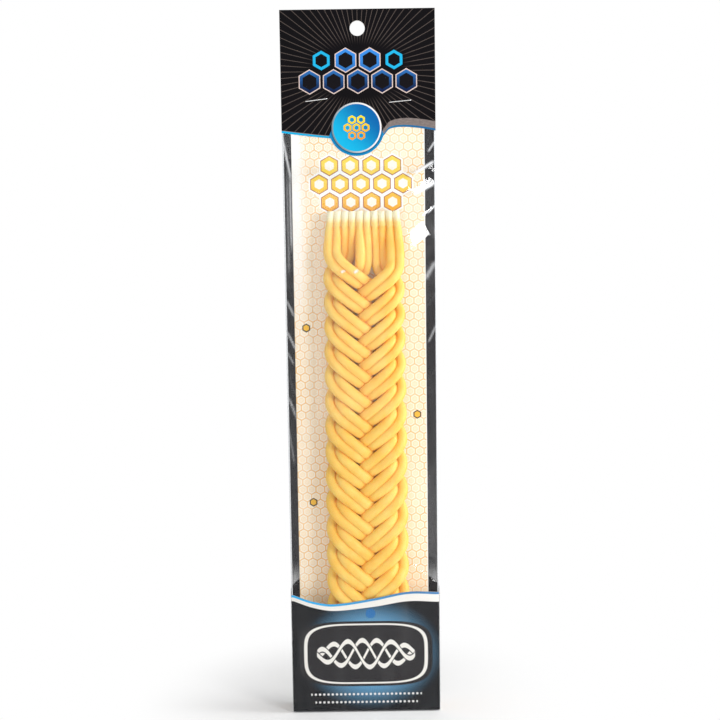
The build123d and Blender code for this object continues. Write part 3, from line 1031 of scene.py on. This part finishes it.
SEAM_X = PACK_X - 0.4
WELD_X = SEAM_X - 0.1
POCKET_X = SEAM_X - 0.2
TENT_X = 28.2  # crease beside the candle
TENT_SOFT = 4
FILM_FLAT_Z = LOBE_Z - LOBE_R - 1.0
SHOULDER_Z = FILM_FLAT_Z - 20.0
FLAP_CLEAR_Z = FLAP_TOP + 3.7
FOLD_TOP_Z = FLAP_CLEAR_Z + 18.0
FILM_FACE_Y = FILM_LOW.y + FILM_T / 2
FILM_FLAT_Y = -1.4
SEAM_Y = -0.8
CALM_Z = -225.0  # the film has few folds below this
STREAK_Z = -146.0  # and its smallest over this
SIDE_COLUMNS = 30
FACE_COLUMNS = 26
EASINGS = 2
LID_ROWS = 6
CALM_ROWS = 90
FOLD_ROWS = 90
STREAK_ROWS = 210
FLAT_ROWS = 14
BACK_COLUMNS = 30
BACK_ROWS = 90
BACK_RIDGE = 0.25
STREAK_OUT = 0.3  # how far the film's sides ripple
CALM_OUT = 0.2
LEAN_ASIDE = 0.7  # folds on the sloping sides stand out sideways by this share
LEAN_LESS = 0.3  # and this much less to the front
FLAP_HOLD = 0.02  # the film lies this close to the flap


def film_outline(z):
    """Points of the front film at a height, from left to right."""
    pocket = 1 - ramp(z, FLAP_CLEAR_Z, FOLD_TOP_Z)
    crease = TENT_X + (POCKET_X - TENT_X) * pocket
    front = FILM_FACE_Y + (FILM_FLAT_Y - FILM_FACE_Y) * ramp(z, SHOULDER_Z, FILM_FLAT_Z)
    half = [(PACK_X, SEAM_Y), (SEAM_X, SEAM_Y)]
    side_xs, side_ys = spaced(POCKET_X, crease, SIDE_COLUMNS), spaced(FILM_FLAT_Y, front, SIDE_COLUMNS)
    half += list(zip(side_xs, side_ys))[:-1]
    half += [(crease * (1 - k / FACE_COLUMNS), front) for k in range(FACE_COLUMNS + 1)]
    for turn in range(EASINGS):
        eased = half[:3]
        for before, here, after in zip(half[2:], half[3:], half[4:]):
            eased.append(tuple((a + 2 * b + c) / 4 for a, b, c in zip(before, here, after)))
        half = eased + [half[-1]]
    left = [(-x, y) for x, y in half]
    return left + half[-2::-1]


# Folds in the film: where each starts and ends, seen from the front, its half width and its height
FOLDS = (
    ((16, -141.5), (48, -119.5), 7.4, 1.85),
    ((36, -113), (45.2, -105.5), 1.1, 0.28),
    ((30, -99.5), (45.2, -91.5), 1.7, 0.45),
    ((30, -87.5), (45.2, -79), 1.4, 0.4),
    ((37, -75), (45.2, -67), 0.9, 0.25),
    ((33, -171), (45.2, -158), 1.2, 0.3),
    ((34, -214), (45.2, -203), 1.4, 0.34),
    ((-45, -150), (-36, -166), 1.2, 0.34),
    ((-45, -205), (-37, -222), 1.3, 0.3),
)

# Painted glare: creases laid on as white where the film shows glare streaks and glints, given in the same
# way, with how white each is
GLARE_CREASES = (
    ((-46.4, -60), (-40.6, -90), 0.55, 1.6),
    ((-41.6, -80), (-41.2, -134), 0.5, 1.4),
    ((-43.4, -76), (-43, -150), 0.5, 0.5),
    ((-45.6, -160), (-40, -171), 0.6, 1.1),
    ((-45.6, -179), (-39.6, -191), 0.6, 1.2),
    ((-45.6, -192), (-41, -200), 0.5, 0.8),
    ((-45.6, -219), (-39.8, -233), 0.6, 1),
    ((-45.6, -238), (-42, -262), 0.6, 0.5),
    ((31, -98.6), (45.8, -91), 1, 2.2),
    ((31.5, -86.6), (45.8, -78.2), 0.8, 2.2),
    ((40, -110), (45.8, -104.6), 0.5, 1.4),
    ((41, -73.5), (45.8, -66.5), 0.5, 1.4),
    ((-11.9, -143.8), (-9.5, -142.3), 0.6, 2.2),
    ((-4, -144), (-1.4, -142.2), 0.7, 2.6),
    ((38, -150), (45.8, -138), 1.2, 0.5),
    ((40, -188), (45.6, -177), 0.7, 0.4),
)


def fold(x, z, start, end, half_width, height):
    """How far one fold stands out, or how white one crease of painted glare is, at a place; it runs out at
    both ends.
    """
    run = Vector(end) - Vector(start)
    place = Vector((x, z)) - Vector(start)
    share = place.dot(run) / run.length_squared
    aside = (place - run * share).length / half_width
    if aside > 3 or not 0 < share < 1:
        return 0.0
    return height * math.exp(-aside ** 2) * ramp(share, 0, 0.25) * ramp(share, 1, 0.8)


def crinkle(x, z):
    """How far the film stands out from its smooth shape."""
    slope = ramp(abs(x), 24, 31)
    streak = noise.noise(Vector((abs(x) * 0.1 + abs(z) * 0.06, abs(z) * 0.012, 4.2 if x > 0 else 8.1)))
    calm = noise.noise(Vector((x * 0.03, z * 0.012, 6.6)))
    out = STREAK_OUT * slope * streak + CALM_OUT * calm
    settled = ramp(z, FILM_FLAT_Z + 1, FILM_FLAT_Z - 14) * ramp(z, FOLD_TOP_Z, FOLD_TOP_Z + 40)
    seam = ramp(SEAM_X - abs(x), 0, 4)
    return out * settled * seam + sum(fold(x, z, *values) for values in FOLDS) * ramp(SEAM_X - abs(x), 0, 1)


def film_piece(name, rows, seam_and_glare_whites, material):
    """One film of the sleeve, with how white each of its points is, from its welded edges and from painted
    glare.
    """
    points, faces = sheet(rows, FILM_T, lambda side, row, column: 0)[:2]
    piece = new_piece(name, points, faces, "pack", [material])
    # The seam attribute carries the white of the welded edges and the painted glare along creases
    add_attribute(piece, "seam", seam_and_glare_whites + seam_and_glare_whites)
    return piece


def make_front_film(material):
    """Front film: lid under the base, box around the pocket, tent over the candle and flat top."""
    rows, seam_and_glare_whites = [], []
    zs = spaced(PACK_LOW + FILM_T / 2, CALM_Z, CALM_ROWS)[:-1]
    zs += spaced(CALM_Z, STREAK_Z, FOLD_ROWS)[:-1]
    zs += spaced(STREAK_Z, LEAF_LOW, STREAK_ROWS)[:-1]
    zs += spaced(LEAF_LOW, SHEET_TOP, FLAT_ROWS)
    lowest = film_outline(zs[0])
    for share in spaced(0, 1, LID_ROWS)[:-1]:
        rows.append([Vector((x, SEAM_Y + (y - SEAM_Y) * share, zs[0])) for x, y in lowest])
    for z in zs:
        row = []
        for x, y in film_outline(z):
            out = crinkle(x, z)
            lean = ramp(abs(x), TENT_X - TENT_SOFT, TENT_X + TENT_SOFT) * ramp(z, FLAP_CLEAR_Z, FOLD_TOP_Z)
            aside = math.copysign(out * LEAN_ASIDE * lean, x)
            place = Vector((x + aside, y - out * (1 - LEAN_LESS * lean), z))
            if abs(x) < CARD_X and z < FLAP_CLEAR_Z:
                place.y = min(place.y, FILM_FACE_Y + FLAP_HOLD)
            place.y = max(place.y, FILM_FACE_Y)
            row.append(place)
        rows.append(row)
    for row in rows:
        # White where welded, and elsewhere painted glare along the creases
        for point in row:
            welded = abs(point.x) > WELD_X and point.y > -2
            seam_and_glare_whites.append(1.0 if welded else sum(fold(point.x, point.z, *values) for values in GLARE_CREASES))
    piece = film_piece("film_front", rows, seam_and_glare_whites, material)
    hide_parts("sleeve_front")


def make_back_film(material):
    """Flat back film."""
    xs = [-PACK_X] + spaced(-SEAM_X, SEAM_X, BACK_COLUMNS) + [PACK_X]
    back_y = node_box("sleeve_back")[1].y - FILM_T
    rows, seam_and_glare_whites = [], []
    for z in spaced(PACK_LOW + FILM_T / 2, SHEET_TOP, BACK_ROWS):
        row = []
        for x in xs:
            loose = ramp(z, LEAF_LOW, LEAF_LOW - 12) * ramp(SEAM_X - abs(x), 0, 6)
            ridge = 1 - 2 * abs(noise.noise(Vector((x * 0.05 + z * 0.03, z * 0.012, 2.7))))
            row.append(Vector((x, back_y + BACK_RIDGE * loose * max(ridge, 0.0), z)))
        rows.append(row)
        seam_and_glare_whites += [1.0 if abs(x) > WELD_X else 0.0 for x in xs]
    piece = film_piece("film_back", rows, seam_and_glare_whites, material)
    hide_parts("sleeve_back")


def dress_staples():
    """The frame's staples keep their shape and get drawn steel."""
    steel = steel_material()
    for name in STAPLES:
        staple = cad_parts[name]
        staple.data.materials.clear()
        staple.data.materials.append(steel)


make_candle()
make_header()
make_card()
film = film_material()
make_front_film(film)
make_back_film(film)
dress_staples()


# Studio

CAMERA_LENS = 70.0
CAMERA_TARGET = Vector((-1.125, -10.0, -196.986)) * MM
CAMERA_DISTANCE = 0.8446
CAMERA_ELEVATION = math.radians(6.833)
CAMERA_ROLL = math.radians(-0.821)
SENSOR_WIDTH = 36.0
AMBIENT = 0.55
FLOOR_SIZE = 4.0
FLOOR_DROP = 0.0004
FLOOR_GREY = (0.93, 0.93, 0.93, 1)
WHITE = (1, 1, 1, 1)
SHADOW_REACH = (40.0, 150.0)  # the floor turns white between these distances


def make_camera():
    """Camera at the photograph's viewing angle."""
    data = bpy.data.cameras.new("camera")
    data.lens = CAMERA_LENS
    data.sensor_width = SENSOR_WIDTH
    camera = add_object("camera", data)
    back = Vector((0, -math.cos(CAMERA_ELEVATION), math.sin(CAMERA_ELEVATION)))
    level = Vector((1, 0, 0))
    upward = back.cross(level)
    right = level * math.cos(CAMERA_ROLL) + upward * math.sin(CAMERA_ROLL)
    up = upward * math.cos(CAMERA_ROLL) - level * math.sin(CAMERA_ROLL)
    turn = Matrix((right, up, back)).transposed().to_4x4()
    camera.matrix_world = Matrix.Translation(CAMERA_TARGET + back * CAMERA_DISTANCE) @ turn
    bpy.context.scene.camera = camera


def area_light(name, place, size, power):
    """Soft box that faces the middle of the pack."""
    data = bpy.data.lights.new(name, "AREA")
    data.size = size
    data.energy = power
    light = add_object(name, data)
    light.location = place
    aim = CAMERA_TARGET - Vector(place)
    light.rotation_euler = aim.to_track_quat("-Z", "Y").to_euler()


def make_world():
    """White to the eye and in reflections, and a plain soft light on the object."""
    world = bpy.data.worlds.new("studio")
    world.use_nodes = True
    bpy.context.scene.world = world
    nodes, links = world.node_tree.nodes, world.node_tree.links
    choose = nodes.new("ShaderNodeMixShader")
    backgrounds = (nodes["Background"], nodes.new("ShaderNodeBackground"))
    for background, strength, socket in zip(backgrounds, (AMBIENT, 1.0), choose.inputs[1:]):
        background.inputs["Color"].default_value = WHITE
        background.inputs["Strength"].default_value = strength
        links.new(background.outputs[0], socket)
    path = nodes.new("ShaderNodeLightPath")
    seen = path.outputs["Is Camera Ray"]
    for name in ("Is Glossy Ray", "Is Transmission Ray"):
        either = nodes.new("ShaderNodeMath")
        either.operation = "MAXIMUM"
        links.new(seen, either.inputs[0])
        links.new(path.outputs[name], either.inputs[1])
        seen = either.outputs[0]
    links.new(seen, choose.inputs[0])
    links.new(choose.outputs[0], nodes["World Output"].inputs["Surface"])


def make_floor():
    """Pale floor that keeps the shadow near the pack and turns white further off."""
    z = PACK_LOW * MM - FLOOR_DROP
    mesh = bpy.data.meshes.new("floor")
    corners = [(x * FLOOR_SIZE, y * FLOOR_SIZE, z) for x, y in ((-1, -1), (1, -1), (1, 1), (-1, 1))]
    mesh.from_pydata(corners, [], [(0, 1, 2, 3)])
    floor = add_object("floor", mesh)
    paint = Paint("pale_floor")
    far = paint.step(paint.length(paint.x, paint.y), *SHADOW_REACH)
    seen = Value(paint, paint.add("ShaderNodeLightPath").outputs["Is Camera Ray"])
    paint.color = FLOOR_GREY
    paint.finish(Roughness=0.9)
    white = paint.add("ShaderNodeEmission", Color=WHITE, Strength=1.0)
    surface = paint.blend(far * seen, paint.shader, white)
    paint.feed(paint.output.inputs["Surface"], surface.outputs[0])
    mesh.materials.append(paint.material)
    floor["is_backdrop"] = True


make_camera()
make_world()
make_floor()
# Lamps: place and size in metres, power in watts
area_light("key", (0.8, -0.85, 0.05), 0.3, 5.6)
area_light("fill", (-0.3, -1.1, -0.35), 0.7, 3.4)
area_light("side", (0.72, -0.08, 0.06), 0.2, 2.6)
area_light("upper", (0.68, -0.05, 0.2), 0.12, 0.8)
bpy.context.scene.view_settings.view_transform = "Standard"

boxes = {"cad": cad_box, "visual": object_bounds()}
{name: [list(low), list(high)] for name, (low, high) in boxes.items()}
